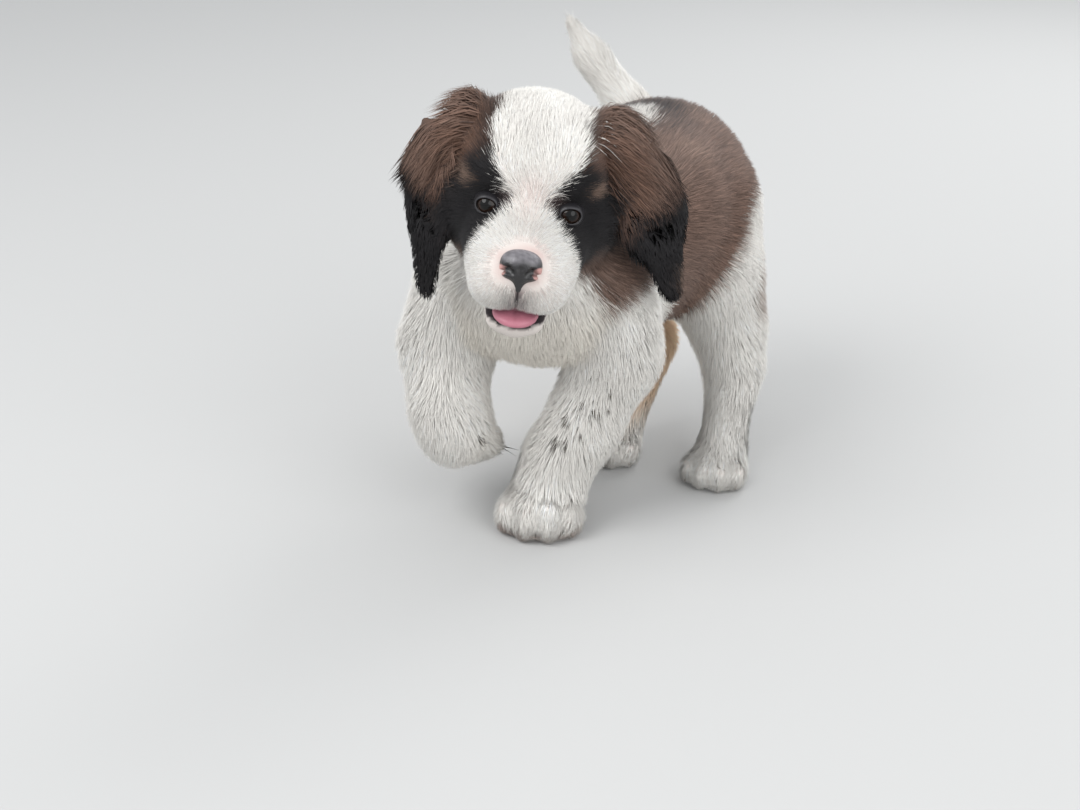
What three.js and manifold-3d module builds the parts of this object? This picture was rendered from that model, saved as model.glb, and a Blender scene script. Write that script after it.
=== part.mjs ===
// A Saint Bernard puppy of about eight weeks, caught in a bounding step, as a still life-size model.
// Millimetres. The floor is z = 0, the dog looks along -Y, and its left side is +X.
import * as THREE from 'three';
import { mergeVertices } from 'three/addons/utils/BufferGeometryUtils.js';
import Module from 'manifold-3d';

const wasm = await Module();
wasm.setup();

// Driving dimensions of the whole dog
const GAP = 0.3;                       // clearance between two neighbouring sub-parts
const SPINE_CENTRE = [[2, -60, 189], [4, 0, 194], [12, 66, 201], [17, 118, 210]];
const SPINE_RADIUS = [64, 80, 84, 77];
const HEAD_CENTRE = [13.5, -100, 264];
const HEAD_YAW = 26.5;                 // degrees, to the dog's left
const HEAD_PITCH = 7;                  // degrees, nose up
const HEAD_ROLL = 7;                   // degrees, crown to the dog's left
const EYE_SPAN = 55;                   // between the eye centres
const EYE_RADIUS = 9.5;
const MUZZLE_LENGTH = 54;              // from the eyes to the tip of the nose
const SKULL_WIDTH = 124;
const PAW_WIDTH = 66;
const PAW_LENGTH = 78;
const TAIL_STOPS = [[8, 170, 226], [-28, 200, 238], [-61, 206, 258], [-88, 199, 294], [-101, 186, 324]];
const TAIL_RADIUS = [24, 20, 18.5, 16.5, 7];

// Colours of the coat and the bare skin, with their roughness
const finish = (color, roughness = 0.9) => new THREE.MeshStandardMaterial({ color, roughness, metalness: 0 });
const WHITE_COAT = finish(0xe9e4dc);
const BROWN_COAT = finish(0x7d5238);
const DARK_COAT = finish(0x2a2220);
const EAR_COAT = finish(0x5d3823);
const NOSE_LEATHER = finish(0x171416, 0.35);
const EYE_GLASSY = finish(0x1a0f0b, 0.08);
const MOUTH_PINK = finish(0xd98f8d, 0.5);

const at = (x, y, z) => new THREE.Vector3(x, y, z);
const vectors = (list) => list.map((stop) => at(...stop));
const RADIANS = Math.PI / 180;
const clamp = THREE.MathUtils.clamp;

// Distance fields. Each one tells how far a point lies outside a form, and is negative inside it.
const probe = at(0, 0, 0);

function taper(a, b, radiusA, radiusB) {
  const along = b.clone().sub(a);
  const lengthSquared = along.lengthSq();
  return (p) => {
    const t = clamp(probe.copy(p).sub(a).dot(along) / lengthSquared, 0, 1);
    return probe.copy(a).addScaledVector(along, t).distanceTo(p) - (radiusA + (radiusB - radiusA) * t);
  };
}

function egg(centre, radii, turn = [0, 0, 0]) {
  const back = new THREE.Matrix4().makeRotationFromEuler(new THREE.Euler(...turn.map((v) => v * RADIANS)));
  back.setPosition(centre).invert();
  const q = at(0, 0, 0);
  return (p) => {
    q.copy(p).applyMatrix4(back);
    const k0 = Math.hypot(q.x / radii[0], q.y / radii[1], q.z / radii[2]);
    const k1 = Math.hypot(q.x / radii[0] ** 2, q.y / radii[1] ** 2, q.z / radii[2] ** 2);
    return k0 < 1e-6 ? -Math.min(...radii) : (k0 * (k0 - 1)) / k1;
  };
}

function softMin(a, b, k) {
  const h = Math.max(k - Math.abs(a - b), 0) / k;
  return Math.min(a, b) - (h * h * k) / 4;
}

const blend = (k, ...fields) => (p) => fields.reduce((d, field) => softMin(d, field(p), k), 1e9);
const chain = (stops, radii, k = 12) => blend(k, ...stops.slice(1).map(
  (stop, i) => taper(stops[i], stop, radii[i], radii[i + 1])));
const bothSides = (make) => [make(1), make(-1)];

// The way from a point of the bone line out to where the field has the level
function cast(field, from, ray, level) {
  const point = at(0, 0, 0);
  let reach = 0;
  for (let step = 0; step < 90; step += 1) {
    const d = field(point.copy(from).addScaledVector(ray, reach)) - level;
    reach -= d * 0.9;
    if (Math.abs(d) < 0.01) break;
  }
  if (!(reach > 0.5)) throw new Error('the bone line leaves its form');
  return point.copy(from).addScaledVector(ray, reach);
}

// A capsule's grid is led along a bone line, and each of its points goes out to where the field has
// the level. The level moves the surface out of the form by that many millimetres.
function wrap(field, line, { around = 20, caps = 6, rings = 10, side = at(1, 0, 0) }, level = 0) {
  const grid = new THREE.CapsuleGeometry(1, 2, caps, around, rings);
  grid.deleteAttribute('normal');
  grid.deleteAttribute('uv');
  const geometry = mergeVertices(grid, 1e-4);
  const place = geometry.attributes.position;
  const ray = at(0, 0, 0);
  for (let i = 0; i < place.count; i += 1) {
    const point = at(0, 0, 0).fromBufferAttribute(place, i);
    const height = clamp(point.y, -1, 1);
    const local = at(point.x, point.y - height, point.z).normalize();
    const t = (height + 1) / 2;
    const tangent = line.getTangent(t);
    const across = side.clone().addScaledVector(tangent, -side.dot(tangent)).normalize();
    const third = across.clone().cross(tangent);
    ray.set(0, 0, 0).addScaledVector(across, local.x).addScaledVector(tangent, local.y);
    ray.addScaledVector(third, local.z);
    place.setXYZ(i, ...cast(field, line.getPoint(t), ray, level).toArray());
  }
  return geometry;
}

const curve = (stops) => new THREE.CatmullRomCurve3(stops, false, 'centripetal');

// Solids. three.js geometry goes to the solid library for cuts and joins, and comes back.
function solid(geometry, matrix = new THREE.Matrix4()) {
  const plain = geometry.clone();
  for (const name of Object.keys(plain.attributes)) if (name !== 'position') plain.deleteAttribute(name);
  const merged = mergeVertices(plain.applyMatrix4(matrix), 1e-4);
  const mesh = new wasm.Mesh({
    numProp: 3,
    vertProperties: new Float32Array(merged.attributes.position.array),
    triVerts: new Uint32Array(merged.index.array),
  });
  return new wasm.Manifold(mesh);
}

// A node keeps its largest closed surface only, so that loose scraps and sealed hollows go. Slivers
// finer than this are merged away first.
const FINEST_EDGE = 0.08;

function largestSurface(body) {
  const { vertProperties, triVerts } = body.simplify(FINEST_EDGE).getMesh();
  const points = new THREE.BufferAttribute(vertProperties, 3);
  const owner = Array.from({ length: points.count }, (_, i) => i);
  const top = (i) => {
    let above = i;
    while (owner[above] !== above) above = owner[above];
    owner[i] = above;
    return above;
  };
  const volumes = new Map();
  const corner = (i) => at(0, 0, 0).fromBufferAttribute(points, triVerts[i]);
  for (let i = 0; i < triVerts.length; i += 3) {
    owner[top(triVerts[i])] = top(triVerts[i + 1]);
    owner[top(triVerts[i + 1])] = top(triVerts[i + 2]);
  }
  for (let i = 0; i < triVerts.length; i += 3) {
    const surface = top(triVerts[i]);
    const wedge = corner(i).dot(corner(i + 1).cross(corner(i + 2)));
    volumes.set(surface, (volumes.get(surface) ?? 0) + wedge);
  }
  const kept = [...volumes.keys()].reduce((best, surface) => (
    volumes.get(surface) > volumes.get(best) ? surface : best));
  const number = new Map();
  const places = [];
  const index = [];
  for (const vertex of triVerts.filter((v) => top(v) === kept)) {
    if (!number.has(vertex)) {
      number.set(vertex, number.size);
      places.push(points.getX(vertex), points.getY(vertex), points.getZ(vertex));
    }
    index.push(number.get(vertex));
  }
  const geometry = new THREE.BufferGeometry();
  geometry.setAttribute('position', new THREE.Float32BufferAttribute(places, 3));
  geometry.setIndex(index);
  return geometry;
}

// Locks of hair. Their roots stand on the points of a coarse grid drawn on the same form, and each
// one is a flat tapered cone that leaves the core, lies along the flow of the coat and ends at the
// coat's outline.
const LOCK_SINK = 6;                   // how deep a root goes into the core
const random = THREE.MathUtils.seededRandom;
random(9);

function slope(field, p) {
  const h = 0.5;
  const d = field(p);
  const along = (x, y, z) => field(at(p.x + x, p.y + y, p.z + z)) - d;
  return at(along(h, 0, 0), along(0, h, 0), along(0, 0, h)).normalize();
}

function lock(field, root, flow, core, { length, width, thick, tip = 0 }) {
  const STEPS = 3;
  const stops = [];
  const normals = [];
  const p = root.clone();
  for (let i = 0; i <= STEPS; i += 1) {
    const share = i / STEPS;
    const height = i === 0 ? core - LOCK_SINK : core + (tip - core) * (0.2 + 0.8 * share);
    let normal = slope(field, p);
    for (let turn = 0; turn < 3; turn += 1) {
      p.addScaledVector(normal, height - field(p));
      normal = slope(field, p);
    }
    stops.push(p.clone());
    normals.push(normal);
    const lie = flow(p).addScaledVector(normal, -flow(p).dot(normal)).normalize();
    p.addScaledVector(lie, length / STEPS);
  }
  return (grow) => {
    const cone = new THREE.ConeGeometry(1, 1, 4, STEPS);
    const place = cone.attributes.position;
    for (let i = 0; i < place.count; i += 1) {
      const t = place.getY(i) + 0.5;
      const ring = Math.round(t * STEPS);
      const ahead = stops[Math.min(ring + 1, STEPS)].clone().sub(stops[Math.max(ring - 1, 0)]).normalize();
      const across = ahead.clone().cross(normals[ring]).normalize();
      const up = across.clone().cross(ahead);
      const full = ring === STEPS ? 0 : (1 - t ** 1.9) / (1 - t);
      const point = stops[ring].clone();
      point.addScaledVector(across, place.getX(i) * full * (width / 2 + grow));
      point.addScaledVector(up, place.getZ(i) * full * (thick / 2 + grow));
      point.addScaledVector(ahead, ring === STEPS ? grow * 2 : 0);
      place.setXYZ(i, ...point.toArray());
    }
    return cone;
  };
}

function locksOn({ field, line }, grid, core, flow, size, zone) {
  const points = wrap(field, line, grid, core).attributes.position;
  const locks = [];
  for (let i = 0; i < points.count; i += 1) {
    const jitter = () => (random() - 0.5) * size.width * 0.5;
    const root = at(0, 0, 0).fromBufferAttribute(points, i).add(at(jitter(), jitter(), jitter()));
    const vary = 0.8 + 0.4 * random();
    if (!zone(root)) continue;
    locks.push(lock(field, root, flow, core, {
      length: size.length * vary, width: size.width * (1.5 - 0.5 * vary), thick: size.thick, tip: size.tip ?? 0,
    }));
  }
  return locks;
}

// The dog's head is built upright in its own frame and turned as one group.
const headFrame = new THREE.Group();
headFrame.position.set(...HEAD_CENTRE);
headFrame.rotation.set(-HEAD_PITCH * RADIANS, HEAD_ROLL * RADIANS, HEAD_YAW * RADIANS, 'ZXY');
headFrame.updateMatrixWorld(true);
const inBody = (x, y, z) => at(x, y, z).applyMatrix4(headFrame.matrixWorld);

// Each form is a field round a bone line, drawn at any level, so that a copy grown by the gap can cut
// its neighbours and locks can stand on it.
const forms = {};
const draw = (name, level) => wrap(forms[name].field, forms[name].line, forms[name].grid, level);

// Torso: chest, ribs, loin and rump along the spine, with the breast bone and the belly below
const spine = vectors(SPINE_CENTRE);
const torsoField = blend(26,
  chain(spine, SPINE_RADIUS, 20),
  egg(at(2, -84, 182), [56, 46, 47]));
forms.torso = {
  field: torsoField,
  line: curve([at(3, -50, 182), at(6, 20, 196), at(14, 104, 203)]),
  grid: { around: 18, caps: 5, rings: 7 },
};

// Neck: short and thick, from the withers and the throat up to the back of the skull
const neckField = blend(20,
  taper(at(2, -50, 214), inBody(0, 26, -14), 74, 60),
  taper(at(2, -70, 208), inBody(0, 4, -42), 52, 42));
forms.neck = {
  field: neckField,
  line: curve([at(2, -56, 206), inBody(0, 20, -26)]),
  grid: { around: 18, caps: 4, rings: 4 },
};

// Tail: swung to the dog's right and up
const tailLine = vectors(TAIL_STOPS);
forms.tail = {
  field: chain(tailLine, TAIL_RADIUS, 10),
  line: curve(tailLine),
  grid: { around: 10, caps: 3, rings: 8, side: at(0, 0, 1) },
};

// Legs: upper parts down to the wrist or the hock
const LEGS = {
  foreleg_left: {
    stops: [[46, -44, 168], [54, -44, 132], [40, -68, 80], [27, -84, 46]],
    radii: [44, 37, 30, 29],
  },
  foreleg_right: {
    stops: [[-54, -74, 176], [-66, -88, 132], [-52, -112, 92], [-44, -118, 74]],
    radii: [46, 38, 30, 28],
  },
  thigh_left: {
    stops: [[54, 120, 196], [76, 94, 152], [92, 92, 112], [102, 86, 82]],
    radii: [52, 42, 32, 27],
  },
  thigh_right: {
    stops: [[-26, 118, 194], [-36, 100, 150], [-4, 110, 110], [16, 106, 83]],
    radii: [52, 43, 31, 26],
  },
};
for (const [name, { stops, radii }] of Object.entries(LEGS)) {
  const line = vectors(stops);
  forms[name] = { field: chain(line, radii, 14), line: curve(line), grid: { around: 12, caps: 3, rings: 6 } };
}

// Paws: a wrist or hock, a low pad and four toes with claws. Each stands in a frame of its own, with
// the floor at z = 0 and the toes towards -Y.
const PAWS = {
  forepaw_left: { place: [15, -85, 0], yaw: 20, lean: 0, ankle: [7, 14, 50], size: 1.04 },
  forepaw_right: { place: [-52, -86, 76], yaw: 14, lean: 115, ankle: [0, 16, 24], size: 0.9 },
  hindpaw_left: { place: [107, 47, 0], yaw: 8, lean: 0, ankle: [0, 38, 76], size: 0.84 },
  hindpaw_right: { place: [14, 44, 0], yaw: 8, lean: 0, ankle: [14, 58, 78], size: 0.84 },
};
const TOE_SHIFT = [-0.36, -0.13, 0.13, 0.36];
const TOE_REACH = [-0.24, -0.36, -0.36, -0.24];
const pawFrames = {};

function pawField(ankle, size) {
  const heel = at(0, 0.2 * PAW_LENGTH * size, 22 * size);
  return blend(14,
    egg(at(0, -2, 16 * size), [0.42 * PAW_WIDTH * size, 0.4 * PAW_LENGTH * size, 21 * size]),
    taper(heel, at(...ankle), 25 * size, 26 * size));
}

function toes(size, level) {
  const pieces = [];
  TOE_SHIFT.forEach((shift, i) => {
    const centre = at(shift * PAW_WIDTH * size, TOE_REACH[i] * PAW_LENGTH * size, 11 * size);
    const toe = new THREE.SphereGeometry(1, 6, 5);
    const girth = PAW_WIDTH * 0.165 * size + level;
    toe.scale(girth, 17 * size + level, 14 * size + level);
    toe.rotateZ(-shift * 0.7);
    toe.translate(...centre);
    pieces.push(solid(toe));
    const claw = new THREE.ConeGeometry(3.2 * size + level, 17 * size + level, 4, 1);
    claw.rotateX(Math.PI - 1.05);
    claw.translate(centre.x * 1.05, centre.y - 16 * size, 9 * size);
    pieces.push(solid(claw));
  });
  return pieces;
}

for (const [name, paw] of Object.entries(PAWS)) {
  const frame = new THREE.Group();
  frame.position.set(...paw.place);
  frame.rotation.set(paw.lean * RADIANS, 0, paw.yaw * RADIANS, 'ZXY');
  frame.updateMatrixWorld(true);
  pawFrames[name] = frame;
  forms[name] = {
    field: pawField(paw.ankle, paw.size),
    line: curve([at(0, 4, 17 * paw.size), at(...paw.ankle)]),
    grid: { around: 12, caps: 3, rings: 3 },
  };
}

// Head: skull, brow, cheeks and the upper half of the muzzle with its flews
const NOSE_FORWARD = 52 + MUZZLE_LENGTH - 6;
const MUZZLE_END = 18 - NOSE_FORWARD;
const headField = blend(16,
  egg(at(0, 6, 22), [SKULL_WIDTH * 0.47, 60, 54]),
  ...bothSides((s) => egg(at(s * 34, 4, -8), [30, 44, 40])),
  ...bothSides((s) => egg(at(s * 24, -32, 27), [22, 20, 20])),
  taper(at(0, -40, -17), at(0, MUZZLE_END + 3, -26), 24, 18),
  ...bothSides((s) => taper(at(s * 18, -42, -29), at(s * 15, MUZZLE_END + 2, -43), 25, 20)));
forms.head = {
  field: headField,
  line: curve([at(0, 8, 8), at(0, -40, -10), at(0, MUZZLE_END + 8, -30)]),
  grid: { around: 22, caps: 5, rings: 8 },
};

// Lower jaw, hung open below the muzzle
const jawField = blend(10,
  taper(at(0, -18, -52), at(0, MUZZLE_END + 14, -73), 28, 13),
  ...bothSides((s) => taper(at(s * 14, -30, -52), at(s * 12, MUZZLE_END + 12, -71), 16, 10)));
forms.jaw = {
  field: jawField,
  line: curve([at(0, -24, -52), at(0, MUZZLE_END + 14, -73)]),
  grid: { around: 16, caps: 4, rings: 4 },
};

// Tongue, lying on the lower jaw and over its front edge
const tongueField = blend(6,
  egg(at(0, -52, -56), [16, 26, 6], [10, 0, 0]),
  egg(at(0, MUZZLE_END + 8, -65), [17, 17, 5.5], [20, 0, 0]));
forms.tongue = {
  field: tongueField,
  line: curve([at(0, -44, -55), at(0, MUZZLE_END + 10, -64)]),
  grid: { around: 10, caps: 3, rings: 3 },
};

// Nose leather: a rounded pad with two comma-shaped nostrils
const noseField = blend(5,
  egg(at(0, -NOSE_FORWARD + 9, -28), [13, 11, 11]),
  ...bothSides((s) => egg(at(s * 6.5, -NOSE_FORWARD + 6, -34), [7.5, 9, 8.5])));
forms.nose = {
  field: noseField,
  line: curve([at(-5, -NOSE_FORWARD + 9, -31), at(5, -NOSE_FORWARD + 9, -31)]),
  grid: { around: 12, caps: 4, rings: 2, side: at(0, 1, 0) },
};

const nostrils = bothSides((s) => {
  const hole = new THREE.SphereGeometry(1, 8, 6);
  hole.scale(3, 6, 2.4);
  hole.rotateY(s * 0.5);
  hole.translate(s * 6.6, -NOSE_FORWARD - 1, -33);
  return solid(hole);
});

// Eyes. Each ball sits behind the surface of the brow and looks forward and a little outward, in a
// socket that opens between two thick lids.
const EYE_DEPTH = 6.6;                 // how far the ball's centre lies behind the coat
const LID_HALF_WIDTH = 9;
const LID_HALF_HEIGHT = 6.6;
const LID_THICKNESS = 2.2;
const EYES = { eye_left: 1, eye_right: -1 };
const eyeFrames = {};
for (const [name, s] of Object.entries(EYES)) {
  const look = at(s * 0.2, -1, 0.06).normalize();
  const inside = at(s * (EYE_SPAN / 2 - 5), -20, -2);
  let reach = 0;
  for (let step = 0; step < 60; step += 1) reach -= headField(inside.clone().addScaledVector(look, reach)) * 0.8;
  const frame = new THREE.Object3D();
  frame.position.copy(inside).addScaledVector(look, reach - EYE_DEPTH);
  frame.lookAt(frame.position.clone().add(look));
  frame.updateMatrixWorld(true);
  eyeFrames[name] = frame.matrixWorld;
  const ball = frame.position;
  forms[name] = {
    field: (p) => p.distanceTo(ball) - EYE_RADIUS,
    line: curve([ball.clone().add(at(0, 0.5, 0)), ball.clone().add(at(0, -0.5, 0))]),
    grid: { around: 12, caps: 5, rings: 1 },
  };
}

function lidRing(frame) {
  const ring = new THREE.TorusGeometry(1, LID_THICKNESS / LID_HALF_WIDTH, 5, 12);
  const place = ring.attributes.position;
  for (let i = 0; i < place.count; i += 1) {
    const x = place.getX(i) * LID_HALF_WIDTH;
    const y = place.getY(i) * LID_HALF_HEIGHT;
    const dome = Math.sqrt(Math.max(EYE_RADIUS ** 2 - x * x - y * y, 4));
    place.setXYZ(i, x, y, dome + place.getZ(i) * LID_HALF_WIDTH + 0.4);
  }
  return solid(ring.applyMatrix4(frame));
}

function socketCut(frame) {
  const flare = new THREE.CylinderGeometry(1.6, 0.5, 30, 12);
  flare.rotateX(Math.PI / 2);
  flare.scale(LID_HALF_WIDTH, LID_HALF_HEIGHT, 1);
  flare.translate(0, 0, 15);
  return solid(flare.applyMatrix4(frame));
}

// The ear flap hangs from a thick fold at its root. Its width runs along x in its own frame, its
// length down -z, and it bows round the cheek, hollow on the side that faces the head.
const EARS = {
  ear_left: { place: [64, 8, 44], turn: [-18, -20, 36], length: 122, width: 68, tuck: 0.0006 },
  ear_right: { place: [-66, 4, 46], turn: [-16, -5, -44], length: 128, width: 60, tuck: 0.0017 },
};
const EAR_THICKNESS = 0.26;            // of its width
const earFrames = {};
function earField({ length, width, tuck }) {
  const outline = blend(14,
    taper(at(0, 0, -4), at(2, 0, -length * 0.4), width * 0.3, width * 0.48),
    taper(at(2, 0, -length * 0.4), at(0, 0, -length + width * 0.27), width * 0.48, width * 0.25));
  const cup = egg(at(-2, width * EAR_THICKNESS * 0.55, -length * 0.45), [width * 0.3, 5, length * 0.28]);
  const unbent = at(0, 0, 0);
  const flap = (p) => {
    unbent.set(p.x, p.y - 0.007 * p.x * p.x - tuck * p.z * p.z, p.z);
    const dent = cup(unbent);
    unbent.y /= EAR_THICKNESS;
    return -softMin(-outline(unbent) * EAR_THICKNESS, dent, 3);
  };
  return blend(10, flap, egg(at(0, 4, -6), [20, 13, 16]));
}
for (const [name, ear] of Object.entries(EARS)) {
  const frame = new THREE.Group();
  frame.position.set(...ear.place);
  frame.rotation.set(...ear.turn.map((v) => v * RADIANS), 'ZXY');
  frame.updateMatrixWorld(true);
  earFrames[name] = frame;
  const middle = (share) => at(0, ear.tuck * (share * ear.length) ** 2 - 1, -share * ear.length);
  forms[name] = {
    field: earField(ear),
    line: curve([middle(0.08), middle(0.5), middle(0.84)]),
    grid: { around: 14, caps: 3, rings: 7 },
  };
}

// Where each node sits: the frames that carry it, from the body's frame outwards
const world = new THREE.Matrix4();
const headMatrix = headFrame.matrixWorld;
const frameOf = {};
for (const name of ['torso', 'neck', 'tail', ...Object.keys(LEGS)]) frameOf[name] = world;
for (const name of ['head', 'jaw', 'tongue', 'nose', ...Object.keys(EYES)]) frameOf[name] = headMatrix;
for (const name of Object.keys(PAWS)) frameOf[name] = pawFrames[name].matrixWorld;
for (const name of Object.keys(EARS)) frameOf[name] = headMatrix.clone().multiply(earFrames[name].matrixWorld);

// Order of the cuts: a node gives way to those before it
const ORDER = ['torso', 'neck', ...Object.keys(LEGS), ...Object.keys(PAWS), 'tail',
  ...Object.keys(EYES), 'head', 'nose', 'tongue', 'jaw', ...Object.keys(EARS)];

// The coat: how deep it is where locks are built, how big they are and which way they lie. Flows
// are given in the node's own frame. The core lies half the coat's depth inside the outline.
const side = (p) => Math.sign(p.x);
const tailFlow = (p) => {
  const nearest = [...Array(13).keys()].map((i) => i / 12).reduce((best, t) => (
    forms.tail.line.getPoint(t).distanceTo(p) < forms.tail.line.getPoint(best).distanceTo(p) ? t : best), 0);
  return forms.tail.line.getTangent(nearest);
};
const legCoat = {
  depth: 6,
  grid: { around: 4, caps: 1, rings: 3, side: at(1, 0.6, 0) },
  flow: () => at(0, 0.3, -1),
  size: { length: 54, width: 30, thick: 7 },
  zone: (p) => p.z > 72,
};
const thighCoat = {
  depth: 10,
  grid: { around: 5, caps: 1, rings: 3 },
  flow: () => at(0, 0.5, -1),
  size: { length: 56, width: 34, thick: 8 },
};
const earCoat = {
  depth: 1,
  grid: { around: 3, caps: 1, rings: 3 },
  flow: (p) => at(p.x * 0.01, 0, -1),
  size: { length: 38, width: 24, thick: 5, tip: 2 },
  zone: (p) => p.z < -20 && p.z > -84,
};
// The right thigh, which the body hides, has no locks and is drawn plain, out to its outline.
const COAT = {
  torso: {
    depth: 12,
    grid: { around: 8, caps: 2, rings: 3 },
    flow: (p) => (p.y < -70 ? at(0, 0.1, -1) : at(0, 1, -0.5 * clamp((240 - p.z) / 60, 0, 1))),
    size: { length: 84, width: 54, thick: 11, tip: 2 },
  },
  neck: {
    depth: 12,
    grid: { around: 9, caps: 2, rings: 3 },
    flow: (p) => at(side(p) * 0.1, p.y < -110 ? 0.3 : 1, -0.8),
    size: { length: 50, width: 34, thick: 9 },
  },
  tail: {
    depth: 8,
    grid: { around: 3, caps: 1, rings: 3, side: at(0, 0, 1) },
    flow: tailFlow,
    size: { length: 60, width: 22, thick: 8 },
    zone: (p) => p.distanceTo(tailLine[4]) > 48 && p.distanceTo(tailLine[0]) > 40,
  },
  foreleg_left: legCoat,
  foreleg_right: legCoat,
  thigh_left: thighCoat,
  head: {
    depth: 0,
    grid: { around: 10, caps: 3, rings: 3 },
    flow: (p) => at(side(p) * 0.25, 1, -0.7),
    size: { length: 40, width: 28, thick: 7, tip: 6 },
    zone: (p) => p.y > -14 && Math.abs(p.x) > 24,
  },
  ear_left: earCoat,
  ear_right: earCoat,
};

const insideOf = Object.fromEntries(ORDER.map((name) => {
  const back = frameOf[name].clone().invert();
  return [name, (p) => forms[name].field(p.clone().applyMatrix4(back))];
}));
const coreLevel = (name) => -(COAT[name]?.depth ?? 0) / 2;

// A root that another part covers is left out.
const COVER = 3;
function hairOf(name) {
  if (!COAT[name]) return [];
  const { grid, flow, size, zone = () => true } = COAT[name];
  const open = (p) => {
    const spot = p.clone().applyMatrix4(frameOf[name]);
    return ORDER.every((other) => other === name || insideOf[other](spot) > COVER);
  };
  return locksOn(forms[name], grid, coreLevel(name), flow, size, (p) => zone(p) && open(p));
}

const union = (bodies) => wasm.Manifold.union(bodies);
const placed = (name, geometry) => solid(geometry).transform(frameOf[name].elements);
const box = new THREE.BoxGeometry(600, 700, 200);
box.translate(0, 0, -100);
const floor = solid(box);

const core = {};
const coreGrown = {};
const hair = {};
const hairGrown = {};
for (const name of ORDER) {
  const toesOf = (level) => (name in PAWS ? toes(PAWS[name].size, level) : []);
  const whole = (level) => union([solid(draw(name, coreLevel(name) + level)), ...toesOf(level)])
    .transform(frameOf[name].elements);
  core[name] = whole(0);
  coreGrown[name] = whole(GAP);
  const locks = hairOf(name);
  hair[name] = locks.map((make) => placed(name, make(0)));
  hairGrown[name] = locks.map((make) => placed(name, make(GAP)));
}
core.nose = core.nose.subtract(union(nostrils).transform(headMatrix.elements));
for (const frame of Object.values(eyeFrames)) {
  core.head = core.head.subtract(socketCut(frame).transform(headMatrix.elements));
  core.head = core.head.add(lidRing(frame).transform(headMatrix.elements));
}

const MATERIALS = {
  torso: BROWN_COAT, neck: WHITE_COAT, tail: WHITE_COAT, head: DARK_COAT, jaw: WHITE_COAT, tongue: MOUTH_PINK,
  nose: NOSE_LEATHER, eye_left: EYE_GLASSY, eye_right: EYE_GLASSY, ear_left: EAR_COAT, ear_right: EAR_COAT,
};

const group = new THREE.Group();
ORDER.forEach((name, index) => {
  const before = ORDER.slice(0, index);
  const others = ORDER.filter((other) => other !== name);
  const flesh = core[name].subtract(union([floor, ...before.map((other) => coreGrown[other])]));
  const taken = union([floor, ...others.map((other) => coreGrown[other]), ...before.flatMap((other) => hairGrown[other])]);
  const body = hair[name].length ? flesh.add(union(hair[name]).subtract(taken)) : flesh;
  const geometry = largestSurface(body.transform(frameOf[name].clone().invert().elements));
  const mesh = new THREE.Mesh(geometry, MATERIALS[name] ?? WHITE_COAT);
  mesh.name = name;
  frameOf[name].decompose(mesh.position, mesh.quaternion, mesh.scale);
  group.add(mesh);
});

// The origin is the middle of the whole dog's footprint on the floor.
const outline = new THREE.Box3().setFromObject(group, true);
const middle = outline.getCenter(at(0, 0, 0));
group.position.set(-middle.x, -middle.y, 0);

export default group;
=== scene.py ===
"""Looks of a still, life-size Saint Bernard puppy in a bounding step.

The skin, eyes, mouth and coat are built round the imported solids. Lengths in the first part are in
millimetres in the frame of the body: the floor is z = 0, the dog looks along -Y and its left is +X.
"""
import math

import bmesh
import bpy
import numpy as np
from mathutils import Matrix, Vector
from mathutils.kdtree import KDTree


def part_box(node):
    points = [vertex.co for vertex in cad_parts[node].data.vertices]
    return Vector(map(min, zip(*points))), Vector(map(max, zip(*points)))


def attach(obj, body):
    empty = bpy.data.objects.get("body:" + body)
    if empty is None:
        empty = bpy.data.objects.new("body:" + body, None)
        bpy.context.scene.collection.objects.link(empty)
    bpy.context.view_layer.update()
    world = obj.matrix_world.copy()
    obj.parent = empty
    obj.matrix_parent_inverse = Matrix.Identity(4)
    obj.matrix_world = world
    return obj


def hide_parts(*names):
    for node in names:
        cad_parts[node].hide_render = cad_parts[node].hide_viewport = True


MM = 0.001
RNG = np.random.default_rng(20)

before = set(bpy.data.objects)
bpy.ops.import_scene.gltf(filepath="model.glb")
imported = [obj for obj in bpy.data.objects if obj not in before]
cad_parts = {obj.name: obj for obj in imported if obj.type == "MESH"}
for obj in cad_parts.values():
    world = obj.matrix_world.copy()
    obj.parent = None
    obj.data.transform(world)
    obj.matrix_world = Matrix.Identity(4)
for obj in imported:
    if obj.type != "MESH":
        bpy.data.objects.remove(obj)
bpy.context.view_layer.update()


# Forms. The same named sizes as the solids have, as distance fields on arrays of points.
SPINE_CENTRE = [(2, -60, 189), (4, 0, 194), (12, 66, 201), (17, 118, 210)]
SPINE_RADIUS = [64, 80, 84, 77]
HEAD_CENTRE = (13.5, -100, 264)
HEAD_YAW, HEAD_PITCH, HEAD_ROLL = 26.5, 7, 7
EYE_SPAN, EYE_RADIUS, EYE_DEPTH = 55, 9.5, 6.6
SKULL_WIDTH, MUZZLE_LENGTH = 124, 54
NOSE_FORWARD = 52 + MUZZLE_LENGTH - 6
MUZZLE_END = 18 - NOSE_FORWARD
PAW_WIDTH, PAW_LENGTH = 66, 78
TAIL_STOPS = [(8, 170, 226), (-28, 200, 238), (-61, 206, 258), (-88, 199, 294), (-101, 186, 324)]
TAIL_RADIUS = [24, 20, 18.5, 16.5, 7]
LEGS = {
    "foreleg_left": ([(46, -44, 168), (54, -44, 132), (40, -68, 80), (27, -84, 46)], [44, 37, 30, 29]),
    "foreleg_right": ([(-54, -74, 176), (-66, -88, 132), (-52, -112, 92), (-44, -118, 74)],
                      [46, 38, 30, 28]),
    "thigh_left": ([(54, 120, 196), (76, 94, 152), (92, 92, 112), (102, 86, 82)], [52, 42, 32, 27]),
    "thigh_right": ([(-26, 118, 194), (-36, 100, 150), (-4, 110, 110), (16, 106, 83)], [52, 43, 31, 26]),
}
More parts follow.
